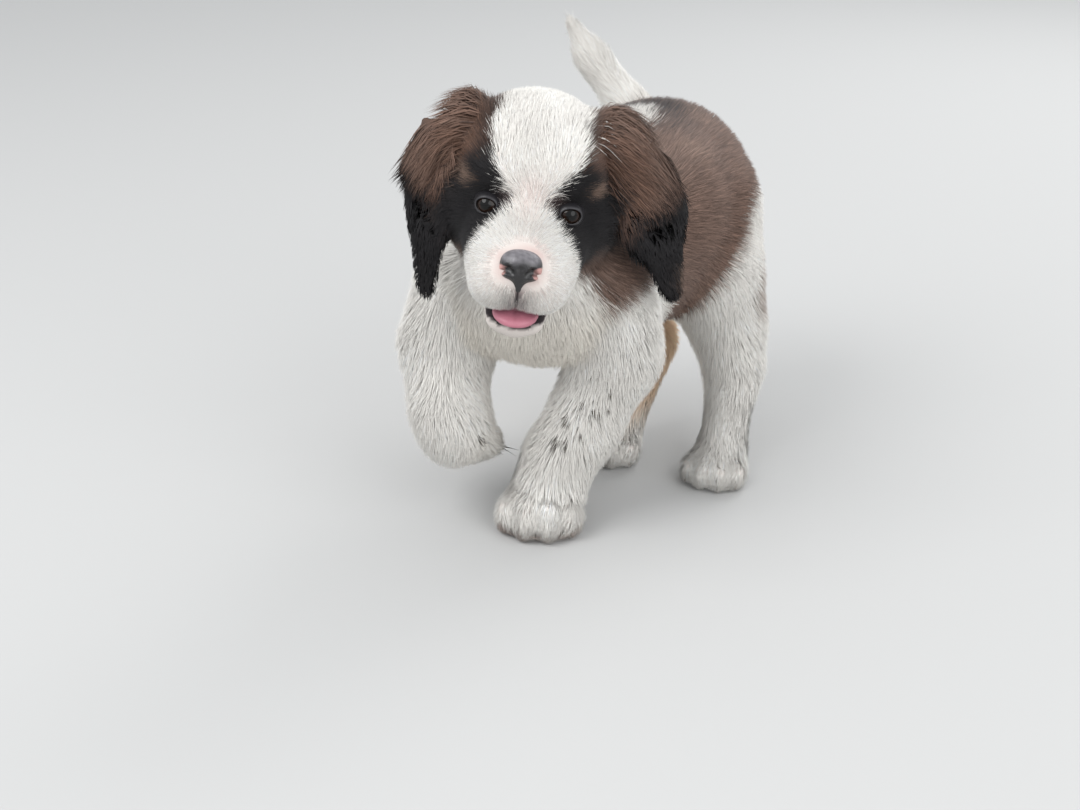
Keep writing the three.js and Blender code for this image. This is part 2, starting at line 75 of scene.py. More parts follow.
PAWS = {
    "forepaw_left": {"place": (15, -85, 0), "yaw": 20, "lean": 0, "ankle": (7, 14, 50), "size": 1.04},
    "forepaw_right": {"place": (-52, -86, 76), "yaw": 14, "lean": 115, "ankle": (0, 16, 24), "size": 0.9},
    "hindpaw_left": {"place": (107, 47, 0), "yaw": 8, "lean": 0, "ankle": (0, 38, 76), "size": 0.84},
    "hindpaw_right": {"place": (14, 44, 0), "yaw": 8, "lean": 0, "ankle": (14, 58, 78), "size": 0.84},
}
TOES = [(-0.36, -0.24), (-0.13, -0.36), (0.13, -0.36), (0.36, -0.24)]
EARS = {
    "ear_left": {"place": (64, 8, 44), "turn": (-18, -20, 36), "length": 122, "width": 68, "tuck": 0.0006},
    "ear_right": {"place": (-66, 4, 46), "turn": (-16, -5, -44), "length": 128, "width": 60, "tuck": 0.0017},
}
EAR_THICKNESS = 0.26


def turn(x, y, z):
    """The rotation about y, then x, then z, in degrees."""
    return (Matrix.Rotation(math.radians(z), 4, "Z") @ Matrix.Rotation(math.radians(x), 4, "X")
            @ Matrix.Rotation(math.radians(y), 4, "Y"))


def placed(place, x, y, z):
    return Matrix.Translation(place) @ turn(x, y, z)


HEAD = placed(HEAD_CENTRE, -HEAD_PITCH, HEAD_ROLL, HEAD_YAW)
PAW_FRAMES = {name: placed(paw["place"], paw["lean"], 0, paw["yaw"]) for name, paw in PAWS.items()}
EAR_FRAMES = {name: HEAD @ placed(ear["place"], *ear["turn"]) for name, ear in EARS.items()}


def moved(points, matrix):
    """Points taken through a matrix."""
    m = np.array(matrix)
    return points @ m[:3, :3].T + m[:3, 3]


def turned(vectors, matrix):
    return vectors @ np.array(matrix)[:3, :3].T


def in_head(points):
    """Points of the body's frame, read in the head's frame."""
    return moved(points, HEAD.inverted())


def unit(vectors):
    return vectors / np.maximum(np.linalg.norm(vectors, axis=-1, keepdims=True), 1e-9)


def taper(a, b, radius_a, radius_b):
    a, b = np.array(a, float), np.array(b, float)
    along = b - a

    def field(p):
        t = np.clip((p - a) @ along / (along @ along), 0, 1)
        return np.linalg.norm(p - a - t[:, None] * along, axis=1) - (radius_a + (radius_b - radius_a) * t)
    field.balls = [(a + along * t, radius_a + (radius_b - radius_a) * t) for t in np.linspace(0, 1, 7)]
    return field


def egg(centre, radii, tilt=0):
    centre, radii = np.array(centre, float), np.array(radii, float)
    back = np.array(turn(tilt, 0, 0).inverted())[:3, :3]

    def field(p):
        q = (p - centre) @ back.T
        k0 = np.linalg.norm(q / radii, axis=1)
        k1 = np.linalg.norm(q / radii ** 2, axis=1)
        return np.where(k0 < 1e-6, -radii.min(), k0 * (k0 - 1) / np.maximum(k1, 1e-9))
    field.balls = [(centre, radii.min())]
    return field


def soft_min(a, b, k):
    h = np.maximum(k - np.abs(a - b), 0) / k
    return np.minimum(a, b) - h * h * k / 4


def blend(k, *fields):
    def field(p):
        d = fields[0](p)
        for other in fields[1:]:
            d = soft_min(d, other(p), k)
        return d
    field.balls = [ball for part in fields for ball in part.balls]
    return field


def chain(stops, radii, k):
    return blend(k, *[taper(a, b, ra, rb) for a, b, ra, rb in zip(stops, stops[1:], radii, radii[1:])])


def both_sides(make):
    return [make(1), make(-1)]


def in_frame(field, matrix):
    """A field that is given in a frame of its own, read at points of the body's frame."""
    back = matrix.inverted()

    def outer(p):
        return field(moved(p, back))
    outer.balls = [(np.array(matrix @ Vector(c)), r) for c, r in field.balls]
    return outer


def paw_field(paw):
    s, ankle = paw["size"], paw["ankle"]
    pad = blend(14, egg((0, -2, 16 * s), (0.42 * PAW_WIDTH * s, 0.4 * PAW_LENGTH * s, 21 * s)),
                taper((0, 0.2 * PAW_LENGTH * s, 22 * s), ankle, 25 * s, 26 * s))
    toes = blend(7, *[egg((x * PAW_WIDTH * s, y * PAW_LENGTH * s, 13 * s),
                          (0.175 * PAW_WIDTH * s, 17 * s, 16 * s)) for x, y in TOES])
    return blend(12, pad, toes)


def ear_field(ear):
    length, width, tuck = ear["length"], ear["width"], ear["tuck"]
    middle, end = (2, 0, -length * 0.4), (0, 0, -length + width * 0.27)
    outline = blend(14, taper((0, 0, -4), middle, width * 0.3, width * 0.48),
                    taper(middle, end, width * 0.48, width * 0.25))
    cup = egg((-2, width * EAR_THICKNESS * 0.55, -length * 0.45), (width * 0.3, 5, length * 0.28))
    root = egg((0, 4, -6), (20, 13, 16))

    def field(p):
        flat = p.copy()
        flat[:, 1] = p[:, 1] - 0.007 * p[:, 0] ** 2 - tuck * p[:, 2] ** 2
        dent = cup(flat)
        flat[:, 1] /= EAR_THICKNESS
        return soft_min(-soft_min(-outline(flat) * EAR_THICKNESS, dent, 3), root(p), 10)
    field.balls = []
    for t in np.linspace(0.05, 0.95, 22):
        z = -t * length
        half = width * np.interp(t, [0, 0.4, 0.75, 1], [0.28, 0.42, 0.32, 0.16])
        for x in np.linspace(-half, half, 9):
            field.balls.append(((x, 0.007 * x * x + tuck * z * z, z), 4.5))
    return field


head_field = blend(
    16,
    egg((0, 6, 22), (SKULL_WIDTH * 0.47, 60, 54)),
    *both_sides(lambda s: egg((s * 34, 4, -8), (30, 44, 40))),
    *both_sides(lambda s: egg((s * 24, -32, 27), (22, 20, 20))),
    taper((0, -40, -17), (0, MUZZLE_END + 3, -26), 24, 18),
    *both_sides(lambda s: taper((s * 18, -42, -29), (s * 15, MUZZLE_END + 2, -43), 25, 20)))
jaw_field = blend(
    10,
    taper((0, -18, -52), (0, MUZZLE_END + 14, -73), 28, 13),
    *both_sides(lambda s: taper((s * 14, -30, -52), (s * 12, MUZZLE_END + 12, -71), 16, 10)))
tongue_form = blend(
    6,
    egg((0, -52, -56), (15, 26, 6), 10),
    egg((0, MUZZLE_END + 8.5, -65), (15.6, 16.5, 5.2), 20))
nose_pad = blend(
    4,
    egg((0, -NOSE_FORWARD + 8.5, -26), (13.5, 10.5, 8.5)),
    *both_sides(lambda s: egg((s * 6.8, -NOSE_FORWARD + 6.5, -31), (7.2, 9, 7))),
    taper((0, -NOSE_FORWARD + 5, -34), (0, -NOSE_FORWARD + 4, -43), 7.5, 2.6))
torso_field = blend(26, chain(SPINE_CENTRE, SPINE_RADIUS, 20), egg((2, -84, 182), (56, 46, 47)))
neck_field = blend(
    20,
    taper((2, -50, 214), HEAD @ Vector((0, 26, -14)), 74, 60),
    taper((2, -70, 208), HEAD @ Vector((0, 4, -42)), 52, 42))

PARTS = {"torso": torso_field, "neck": neck_field, "tail": chain(TAIL_STOPS, TAIL_RADIUS, 10)}
PARTS.update({name: chain(stops, radii, 14) for name, (stops, radii) in LEGS.items()})
PARTS.update({name: in_frame(paw_field(paw), PAW_FRAMES[name]) for name, paw in PAWS.items()})
PARTS["head"] = in_frame(head_field, HEAD)
PARTS["jaw"] = in_frame(jaw_field, HEAD)
PARTS.update({name: in_frame(ear_field(ear), EAR_FRAMES[name]) for name, ear in EARS.items()})
NAMES = list(PARTS)

# How far the skin lies inside the outline of the coat, how much less that is on the bare face, and how
# long the coat is
BARE_FACE_RISE = 2.7
SKIN_DEPTH = {"torso": 10, "neck": 11, "tail": 9, "head": 4.5, "jaw": 2.5, "ear_left": 2, "ear_right": 2}
COAT_LENGTH = {"torso": 21, "neck": 23, "tail": 26, "head": 13, "jaw": 8, "ear_left": 21, "ear_right": 21}
for name in LEGS:
    SKIN_DEPTH[name] = 7
    COAT_LENGTH[name] = 17
for name in PAWS:
    SKIN_DEPTH[name] = 4.5
    COAT_LENGTH[name] = 15


# The eyes, in the head's frame: where each ball stands and how it looks
def eye_place(s):
    look = np.array((s * 0.2, -1, 0.06))
    look /= np.linalg.norm(look)
    inside = np.array((s * (EYE_SPAN / 2 - 5), -20.0, -2.0))
    reach = 0.0
    for _ in range(60):
        reach -= head_field((inside + look * reach)[None])[0] * 0.8
    return inside + look * (reach - EYE_DEPTH), look


EYES = {"eye_left": eye_place(1), "eye_right": eye_place(-1)}


def muzzle_share(p):
    """1 on the short-haired face, 0 on the crown and the cheeks."""
    q = in_head(p)
    forward = np.clip((-q[:, 1] - 26) / 24, 0, 1)
    return forward * np.clip((38 - q[:, 2]) / 24, 0, 1)


def bare_face(p):
    """1 where the head's skin comes close to the outline: on the muzzle and round the eyes."""
    share = muzzle_share(p)
    q = in_head(p)
    for place, look in EYES.values():
        away = np.linalg.norm(q - place - 4 * look, axis=1)
        share = np.maximum(share, np.exp(-(away / 15) ** 4))
    return share


FAR = 45.0


def reach_of(name):
    centres, radii = (np.array(side, float) for side in zip(*PARTS[name].balls))
    return (centres.T - radii).min(axis=1) - FAR, (centres.T + radii).max(axis=1) + FAR


REACH = {name: reach_of(name) for name in NAMES}


def skin_heights(p):
    """The distance of each part's skin from the points, one row a part. Far parts count as far."""
    rows = np.full((len(NAMES), len(p)), FAR)
    for i, name in enumerate(NAMES):
        low, high = REACH[name]
        some = ((p > low) & (p < high)).all(axis=1)
        if not some.any():
            continue
        rows[i, some] = PARTS[name](p[some]) + SKIN_DEPTH[name]
        if name == "head":
            rows[i, some] -= BARE_FACE_RISE * bare_face(p[some])
    return rows


EAR_ROWS = [NAMES.index(name) for name in EARS]
JAW_ROW = NAMES.index("jaw")
BODY_ROWS = [i for i in range(len(NAMES)) if i not in EAR_ROWS and i != JAW_ROW]
BODY_BLEND, JAW_BLEND, EAR_BLEND = 13, 1.2, 4
ROOT_BLEND, ROOT_REACH = 42, 34
FLOOR_GAP = 1.2
EAR_ROOTS = {name: np.array(matrix.translation) for name, matrix in EAR_FRAMES.items()}


def joined(rows, p):
    """One height above the whole skin: body parts flow into one another, while the jaw and the ears
    keep an edge, apart from the ears' roots."""
    d = rows[BODY_ROWS[0]]
    for i in BODY_ROWS[1:]:
        d = soft_min(d, rows[i], BODY_BLEND)
    d = soft_min(d, rows[JAW_ROW], JAW_BLEND)
    for i, root in zip(EAR_ROWS, EAR_ROOTS.values()):
        near = np.exp(-(np.linalg.norm(p - root, axis=1) / ROOT_REACH) ** 4)
        d = soft_min(d, rows[i], EAR_BLEND + ROOT_BLEND * near)
    return d


def height(p):
    """The height of points above the skin, which itself stays a little off the floor."""
    return np.maximum(joined(skin_heights(p), p), -p[:, 2] + FLOOR_GAP)


def steps_of(field, p, step):
    """The field at points, and the way in which it grows there."""
    d = field(p)
    return d, unit(np.stack([field(p + np.eye(3)[axis] * step) - d for axis in range(3)], axis=1))


def slope(p):
    return steps_of(height, p, 0.4)


def settle(p):
    """Moves points along the slope onto the skin."""
    for _ in range(3):
        d, n = slope(p)
        p -= n * np.clip(d, -4, 4)[:, None]
    return p


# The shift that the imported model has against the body's frame, read off the two eyes
shifts = []
for name, (place, look) in EYES.items():
    low, high = (np.array(corner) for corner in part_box(name))
    shifts.append((low + high) / 2 / MM - np.array(HEAD @ Vector(place)))
SHIFT = np.mean(shifts, axis=0) * (1, 1, 0)
print("shift", SHIFT, "spread", np.ptp(shifts, axis=0))


def metres(points):
    return (points + SHIFT) * MM


# Colours, as linear values
WHITE = np.array((0.87, 0.84, 0.79))
CREAM = np.array((0.72, 0.60, 0.42))
PEACH = np.array((0.92, 0.56, 0.29))
BROWN = np.array((0.155, 0.100, 0.078))
MAHOGANY = np.array((0.112, 0.062, 0.043))
TAN = np.array((0.27, 0.18, 0.135))
BLACK = np.array((0.0085, 0.0075, 0.0085))
MUD = np.array((0.050, 0.036, 0.026))
RED_MUD = np.array((0.20, 0.085, 0.05))
PINK = np.array((0.62, 0.33, 0.30))
# The lips' own black, also painted as shade inside the mouth and round the tongue.
LIP_AND_MOUTH_SHADE = np.array((0.022, 0.016, 0.018))


def ramp(x, low, high):
    t = np.clip((x - low) / (high - low), 0, 1)
    return t * t * (3 - 2 * t)


def mix(colour, other, share):
    return colour + (other - colour) * share[:, None]


def layered(p, base, *layers):
    """Colours at points: a base, and over it each layer's colour by its share."""
    colours = np.tile(base, (len(p), 1))
    for colour, share in layers:
        colours = mix(colours, colour, share)
    return colours


def waves(p, scale, seed):
    """Smooth noise from a few sine waves, about -1 to 1."""
    rng = np.random.default_rng(seed)
    total = np.zeros(len(p))
    for _ in range(5):
        direction = unit(rng.normal(size=3))
        total += np.sin(p @ direction / scale * rng.uniform(0.7, 1.6) + rng.uniform(0, 6.28))
    return total / 3


def blob(p, centre, spread):
    """1 at the centre, fading out over the spread."""
    return np.exp(-(((p - np.array(centre)) / np.array(spread)) ** 2).sum(axis=1))


def specks(p, centre, spread, seed, share):
    """Small dark splashes round a place."""
    near = blob(p, centre, spread)
    grain = waves(p, 2.6, seed) * 0.65 + waves(p, 1.3, seed + 1) * 0.5
    return ramp(grain + near * 1.2, 1.75 - share, 1.95 - share) * (near > 0.08)


# Mud on the forelegs: centre, spread, seed and share of each splash
MUD_SPLASHES = [
    ((40, -100, 84), (24, 24, 20), 31, 0.55),
    ((60, -88, 104), (14, 18, 16), 35, 0.60),
    ((55, -86, 125), (9, 14, 8), 36, 0.70),
    ((-26, -114, 118), (8, 14, 14), 33, 0.50),
    ((-18, -122, 80), (9, 14, 14), 37, 0.50),
]


def mud_share(p):
    return np.maximum.reduce([specks(p, *splash) for splash in MUD_SPLASHES])


# Half the blaze's width by height: wide over the muzzle, narrow between the eyes, wide on the crown
BLAZE_HEIGHTS = [-60, -30, -16, -3, 9, 28, 48, 80]
BLAZE_HALF_WIDTHS = [40, 31, 22, 10.5, 11.5, 27, 31, 26]


def head_colour(p):
    q = in_head(p)
    x, y, z = q.T
    wobble = waves(q, 7, 3) * 2.2
    half = np.interp(z, BLAZE_HEIGHTS, BLAZE_HALF_WIDTHS)
    half = half + np.interp(y, [-100, -60, -40], [10, 5, -3]) * (z < 0)
    half = half * (1 - 0.35 * ramp(y, 30, 58))
    blaze = ramp(half - np.abs(x - 1 - 0.02 * z) + wobble, -1.5, 1.5)
    # Black round the eyes, brown towards the ears and the back of the head, a tan spot over each eye
    side = np.abs(x)
    patch = np.sqrt(((side - 30) / 27) ** 2 + ((z + 12) / 40) ** 2)
    back = np.maximum(ramp(patch + wobble * 0.04, 0.92, 1.3) * ramp(z + 0.5 * side, 14, 34),
                      ramp(y + 0.75 * (z - 24) + 0.35 * (side - 30) + wobble, -18, 6))
    back = back * (0.35 + 0.65 * ramp(side - half, 3, 12))
    cheek = ramp(-z + wobble, 22, 34) * ramp(y, -34, -14)
    spot = blob(np.stack([side, y, z], axis=1), (41, -36, 15), (8, 18, 6))
    # Bare pink between the eyes and round the nose, grey above the middle of the lips
    between = np.exp(-(((x - 1) / 9) ** 2 + ((z - 6) / 12) ** 2)) * (y < -30)
    ring = ramp(6 - nose_pad(q), 0, 6) * (y < -60)
    lip = np.exp(-((x / 9) ** 2 + ((z + 50) / 9) ** 2)) * ramp(-y, 80, 92)
    return layered(
        p, BLACK,
        (MAHOGANY * 1.1, back),
        (BROWN, ramp(y + 0.6 * (z - 20) + wobble, -8, 30) * 0.85 * back),
        (BROWN * 0.9, cheek * 0.8),
        (TAN * 0.75, ramp(spot + 0.03 * wobble, 0.2, 0.8) * 0.7),
        (WHITE, blaze),
        (WHITE, ramp(-z + wobble, 44, 54)),
        (PINK * 1.05, between * 0.28),
        (PINK * 1.05, ring * (0.26 + 0.2 * waves(q, 3, 6)).clip(0, 1)),
        (LIP_AND_MOUTH_SHADE * 3, lip * (0.75 + 0.2 * waves(q, 2.5, 5)).clip(0, 1)))


def ear_colour(p, name):
    q = moved(p, EAR_FRAMES[name].inverted())
    length = EARS[name]["length"]
    down = -q[:, 2] / length
    wobble = waves(q, 9, 7) * 0.05
    outer = q[:, 0] / EARS[name]["width"] * (1 if name == "ear_left" else -1)
    light_tip = blob(q, (14, 6, -length * 0.83), (9, 14, 8)) * (name == "ear_left")
    return layered(
        p, MAHOGANY * 1.15,
        (BROWN, ramp(0.3 - down, 0, 0.2) * 0.6),
        (BLACK, ramp(down + wobble + 0.3 * outer, 0.08, 0.30)),
        (TAN * 0.9, light_tip * 0.7))


# The saddle's lower edge along the body, and its white patches, over the withers and at the tail's root
SADDLE_PLACES, SADDLE_EDGE = [-60, -20, 20, 60, 100, 130, 170], [232, 190, 132, 150, 196, 220, 240]
SADDLE_PATCHES = [((12, 50, 288), (20, 38, 30)), ((-20, 160, 262), (30, 30, 34))]


def body_colour(p):
    """Torso and neck."""
    x, y, z = p.T
    wobble = waves(p, 13, 11) * 5 + waves(p, 5, 12) * 1.5
    # The saddle: brown from behind the shoulders to the rump, black along the back
    coat = layered(
        p, BROWN,
        (MAHOGANY, 0.5 * ramp(waves(p, 18, 13), -0.3, 0.8)),
        (TAN, 0.3 * ramp(waves(p, 9, 14), 0.1, 0.9)),
        (BLACK * 2, ramp(z + wobble, 266, 284) * ramp(y + wobble, 10, 50)))
    saddle = ramp(z - np.interp(y, SADDLE_PLACES, SADDLE_EDGE) + wobble, -3, 3)
    patch = blob(p, (62, -66, 218), (34, 34, 30))
    streaks = waves(p, 4, 15) * 0.16
    return layered(
        p, WHITE,
        (CREAM, 0.22 * ramp(-y, 60, 90) * ramp(225 - z, 0, 50)),
        (coat, saddle * ramp(y + wobble, -62, -52)),
        (BROWN * 0.95, ramp(patch + wobble * 0.01, 0.3, 0.45)),
        *[(WHITE * 0.9, ramp(blob(p, *spot) + streaks, 0.3, 0.75) * 0.85) for spot in SADDLE_PATCHES])


def leg_colour(p, name):
    """Legs and paws: white, brown at the thighs' tops, cream inside the left one, peach on the right."""
    x, y, z = p.T
    layers = []
    if name.startswith("thigh"):
        wobble = waves(p, 9, 17) * 4
        low = np.interp(y, [50, 80, 110, 150], [176, 206, 222, 228])
        strip = ramp(x + 0.4 * y - 150 + wobble, -4, 6) * ramp(z - 140 + 2 * wobble, -10, 10)
        layers += [(BROWN, ramp(z - low + wobble, -4, 4)), (BROWN * 1.3, strip * 0.75)]
    if name == "thigh_left":
        layers += [(CREAM, ramp(-x + 70, 0, 20) * ramp(170 - z, 0, 40) * 0.35)]
    if name == "thigh_right":
        layers += [(PEACH, ramp(170 - z, 0, 40) * 0.75)]
    if name == "hindpaw_right":
        layers += [(PEACH, ramp(z, 20, 60) * 0.7)]
    return layered(p, WHITE, *layers)


def part_shares(rows, reach, spread):
    """How much each part counts at points, by how near its skin lies."""
    near = np.exp(-np.clip(rows - rows.min(axis=0), 0, reach) / spread)
    return near / near.sum(axis=0)


def coat_colour(p, rows):
    """The colour of skin and coat at points, by the parts that lie nearest."""
    near = part_shares(rows, 60, 2.2)
    total = np.zeros((len(p), 3))
    for i, name in enumerate(NAMES):
        some = near[i] > 0.01
        if not some.any():
            continue
        q = p[some]
        if name == "head":
            colour = head_colour(q)
        elif name == "jaw":
            colour = layered(q, WHITE * 0.97)
        elif name in EARS:
            colour = ear_colour(q, name)
        elif name == "tail":
            streak = ramp(waves(q, 6, 21) + (240 - q[:, 2]) / 16, -0.3, 0.9)
            colour = layered(q, WHITE, (BROWN * 0.9, streak * 0.75))
        elif name in ("torso", "neck"):
            colour = body_colour(q)
        else:
            colour = leg_colour(q, name)
        total[some] += colour * near[i][some, None]
    dirt = ramp(14 - p[:, 2] + waves(p, 6, 41) * 5, 0, 10) * ramp(-p[:, 1], 80, 100)
    return mix(total, RED_MUD, dirt * 0.65)


# Materials. Shader maths is written as Python expressions on sockets.
class Socket:
    """An output socket. A product with it adds a Math node."""

    def __init__(self, maker, link):
        self.maker, self.link = maker, link

    def __mul__(self, other):
        return self.maker.node("ShaderNodeMath", {"operation": "MULTIPLY"}, {0: self, 1: other})

    __rmul__ = __mul__


class Finish:
    """A material with one Principled shader."""

    def __init__(self, name, colour=(0.8, 0.8, 0.8), roughness=0.6, **fixed):
        self.material = bpy.data.materials.new(name)
        self.material.use_nodes = True
        self.tree = self.material.node_tree
        self.shader = self.tree.nodes["Principled BSDF"]
        self.shader.inputs["Base Color"].default_value = (*colour, 1)
        self.shader.inputs["Roughness"].default_value = roughness
        for socket, value in fixed.items():
            self.shader.inputs[socket.replace("_", " ")].default_value = value

    def node(self, kind, settings=None, inputs=None, output=0):
        node = self.tree.nodes.new(kind)
        for key, value in (settings or {}).items():
            setattr(node, key, value)
        for key, value in (inputs or {}).items():
            self.set(node.inputs[key], value)
        return Socket(self, node.outputs[output])

    def set(self, socket, value):
        if isinstance(value, Socket):
            self.tree.links.new(value.link, socket)
        else:
            socket.default_value = value

    def feed(self, **inputs):
        for key, value in inputs.items():
            self.set(self.shader.inputs[key.replace("_", " ")], value)
        return self

    def object_place(self):
        return self.node("ShaderNodeTexCoord", output="Object")

    def bump(self, millimetres, strength):
        return self.node("ShaderNodeBump", None,
                         {"Height": millimetres, "Strength": strength, "Distance": MM})


def painted(name, roughness, **fixed):
    """A material that takes its colour from the piece's own colour attribute."""
    finish = Finish(name, roughness=roughness, **fixed)
    colour = finish.node("ShaderNodeVertexColor", {"layer_name": "Tint"}, output="Color")
    return finish.feed(Base_Color=colour)


coat_finish = painted("puppy_coat", 0.6, Sheen_Weight=0.04, Sheen_Roughness=0.4, Specular_IOR_Level=0.25)
skin_finish = painted("puppy_skin", 0.75, Specular_IOR_Level=0.2)
grain = skin_finish.node("ShaderNodeTexNoise", None,
                         {"Vector": skin_finish.object_place(), "Scale": 900.0, "Detail": 3.0}, "Fac")
skin_finish.feed(Normal=skin_finish.bump(0.6 * grain, 0.35))

leather_finish = painted("nose_leather", 0.36, Specular_IOR_Level=0.5, Coat_Roughness=0.25,
                         Coat_Weight=0.35)
pebbles = leather_finish.node("ShaderNodeTexVoronoi", {"feature": "F1"},
                              {"Vector": leather_finish.object_place(), "Scale": 900.0}, "Distance")
leather_finish.feed(Normal=leather_finish.bump(0.5 * pebbles, 0.5))

eye_finish = painted("eye", 0.06, Specular_IOR_Level=0.3)
lid_finish = painted("eyelid", 0.4, Specular_IOR_Level=0.5)
tongue_finish = painted("tongue", 0.38, Specular_IOR_Level=0.5)
buds = tongue_finish.node("ShaderNodeTexNoise", None,
                          {"Vector": tongue_finish.object_place(), "Scale": 1400.0, "Detail": 2.0}, "Fac")
tongue_finish.feed(Normal=tongue_finish.bump(0.4 * buds, 0.4))
claw_finish = Finish("claw", (0.30, 0.24, 0.20), 0.35)
whisker_finish = Finish("whisker", (0.82, 0.80, 0.76), 0.4)


# Pieces
def stand(name, data):
    """An object of its data in the scene."""
    piece = bpy.data.objects.new(name, data)
    bpy.context.scene.collection.objects.link(piece)
    return piece


def link(name, mesh, finish, slot_name):
    piece = stand(name, mesh)
    mesh.materials.clear()
    mesh.materials.append(finish.material)
    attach(piece, "root")
    return piece


def tint(mesh, colours):
    layer = mesh.color_attributes.new("Tint", "FLOAT_COLOR", "POINT")
    rgba = np.ones((len(mesh.vertices), 4), np.float32)
    rgba[:, :3] = colours
    layer.data.foreach_set("color", rgba.ravel())


def points_of(mesh):
    flat = np.empty(len(mesh.vertices) * 3)
    mesh.vertices.foreach_get("co", flat)
    return flat.reshape(-1, 3)


def move_points(mesh, points):
    mesh.vertices.foreach_set("co", points.ravel())
    mesh.update()


def smooth(mesh):
    mesh.polygons.foreach_set("use_smooth", np.ones(len(mesh.polygons), bool))


def mesh_from(name, work):
    """The mesh of a bmesh that is done with."""
    mesh = bpy.data.meshes.new(name)
    work.to_mesh(mesh)
    work.free()
    return mesh


def put(name, mesh, points, finish, slot_name):
    """The piece of a mesh whose points go to their places in the body's frame."""
    move_points(mesh, metres(points))
    smooth(mesh)
    return link(name, mesh, finish, slot_name)


def unwrap(piece):
    """A map of the piece's own shape, named for the bake."""
    bpy.ops.object.select_all(action="DESELECT")
    piece.select_set(True)
    bpy.context.view_layer.objects.active = piece
    piece.data.uv_layers.new(name="OFBake")
    bpy.ops.object.mode_set(mode="EDIT")
    bpy.ops.mesh.select_all(action="SELECT")
    bpy.ops.uv.smart_project(angle_limit=math.radians(66), island_margin=0.002)
    bpy.ops.object.mode_set(mode="OBJECT")


SKIN_VOXEL, THINNEST_BALL = 2.4, 2.6
FINE_FACE_CENTRE, FINE_FACE_REACH = (0, -70, -10), 62


def settle_verts(work):
    places = settle(np.array([vertex.co for vertex in work.verts]))
    for vertex, place in zip(work.verts, places):
        vertex.co = place


def build_skin():
    """One skin round all the flesh: balls along every form, made one surface and drawn to the field."""
    rough = bmesh.new()
    for name in NAMES:
        for centre, radius in PARTS[name].balls:
            inner = max(radius - SKIN_DEPTH[name], THINNEST_BALL)
            bmesh.ops.create_icosphere(rough, subdivisions=2, radius=inner,
                                       matrix=Matrix.Translation(Vector(centre)))
    rough_piece = stand("rough_skin", mesh_from("rough_skin", rough))
    remesh = rough_piece.modifiers.new("whole", "REMESH")
    remesh.mode = "VOXEL"
    remesh.voxel_size = SKIN_VOXEL
    graph = bpy.context.evaluated_depsgraph_get()
    skin = bpy.data.meshes.new_from_object(rough_piece.evaluated_get(graph))
    bpy.data.objects.remove(rough_piece)
    skin.name = "skin"
    work = bmesh.new()
    work.from_mesh(skin)
    for _ in range(2):
        settle_verts(work)
        bmesh.ops.smooth_vert(work, verts=work.verts, factor=0.5,
                              use_axis_x=True, use_axis_y=True, use_axis_z=True)
    # The muzzle and the eyes' surroundings get finer faces.
    place = HEAD @ Vector(FINE_FACE_CENTRE)
    edges = [e for e in work.edges if all((v.co - place).length < FINE_FACE_REACH for v in e.verts)]
    bmesh.ops.subdivide_edges(work, edges=edges, cuts=1, use_grid_fill=True)
    bmesh.ops.triangulate(work, faces=[f for f in work.faces if len(f.verts) > 4])
    settle_verts(work)
    work.to_mesh(skin)
    work.free()
    return skin


skin_mesh = build_skin()
skin_points = points_of(skin_mesh)
print("skin", len(skin_points), len(skin_mesh.polygons))


def lean_up(field, q):
    """How far a field's surface looks up at points of the head's frame."""
    return steps_of(field, q, 0.5)[1][:, 2]


def mouth_share(p):
    """1 where the lips and the mouth's inside are bare and dark: the lips' own black, and painted shade
    inside the mouth and round the tongue.
    """
    q = in_head(p)
    share = np.zeros(len(p))
    near = (q[:, 1] < -20) & (q[:, 2] < -36) & (np.abs(q[:, 0]) < 45)
    some = q[near]
    jaw, muzzle = jaw_field(some), head_field(some)
    inner = ramp(1.0 - egg((0, -44, -55), (30, 46, 12), 8)(some), 0, 2)
    lower = ramp(4.5 - jaw, 0, 2) * ramp(lean_up(jaw_field, some), 0.02, 0.22)
    upper = ramp(6 - muzzle, 0, 2) * ramp(-lean_up(head_field, some), 0.8, 0.93) * ramp(12 - jaw, 0, 4)
    gap = ramp(3.0 - np.maximum(muzzle, jaw), 0, 1.2) * ramp(-some[:, 1], 30, 44)
    rim = ramp(3.4 - tongue_form(some), 0, 1.2)
    share[near] = np.maximum.reduce([inner, lower, upper, gap, rim])
    middle = np.exp(-(q[:, 0] / 1.0) ** 2) * ramp(-q[:, 1], 84, 90) * ramp(-q[:, 2], 41, 43)
    return np.maximum(share, middle * (q[:, 2] > -62))


def skin_tint(p, rows):
    # The skin is painted darker than the coat's own colour, and darker still on the muzzle: painted shade
    # among the hairs.
    colour = coat_colour(p, rows) * (0.9 - 0.17 * muzzle_share(p))[:, None]
    colour = mix(colour, PINK * 0.9, 0.12 * ramp(colour.mean(axis=1), 0.2, 0.6))
    # The lips' own black, and painted shade inside the mouth and round the tongue.
    return mix(colour, LIP_AND_MOUTH_SHADE, mouth_share(p))


tint(skin_mesh, skin_tint(skin_points, skin_heights(skin_points)))
skin = put("skin", skin_mesh, skin_points, skin_finish, "white_coat")
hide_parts("torso", "neck", "tail", "head", "jaw", *LEGS, *PAWS, *EARS)
unwrap(skin)


# Eyes
IRIS_RADIUS, PUPIL_RADIUS, IRIS_LIFT = 6.3, 3.9, 0.6
OPENING_HALF_WIDTH, OPENING_ABOVE, OPENING_BELOW = 7.0, 4.6, 5.2
LID_REACH = 11.0
SCLERA = np.array((0.42, 0.36, 0.33))
IRIS = np.array((0.016, 0.007, 0.004))
PUPIL = np.array((0.001, 0.001, 0.001))
LID = np.array((0.011, 0.010, 0.012))


def look_frame(place, look):
    """A frame at the eye with z along its look and y up, in the body's frame."""
    z = Vector(look).normalized()
    x = Vector((0, 0, 1)).cross(z).normalized()
    y = z.cross(x)
    rotation = Matrix((x, y, z)).transposed().to_4x4()
    return HEAD @ Matrix.Translation(Vector(place)) @ rotation


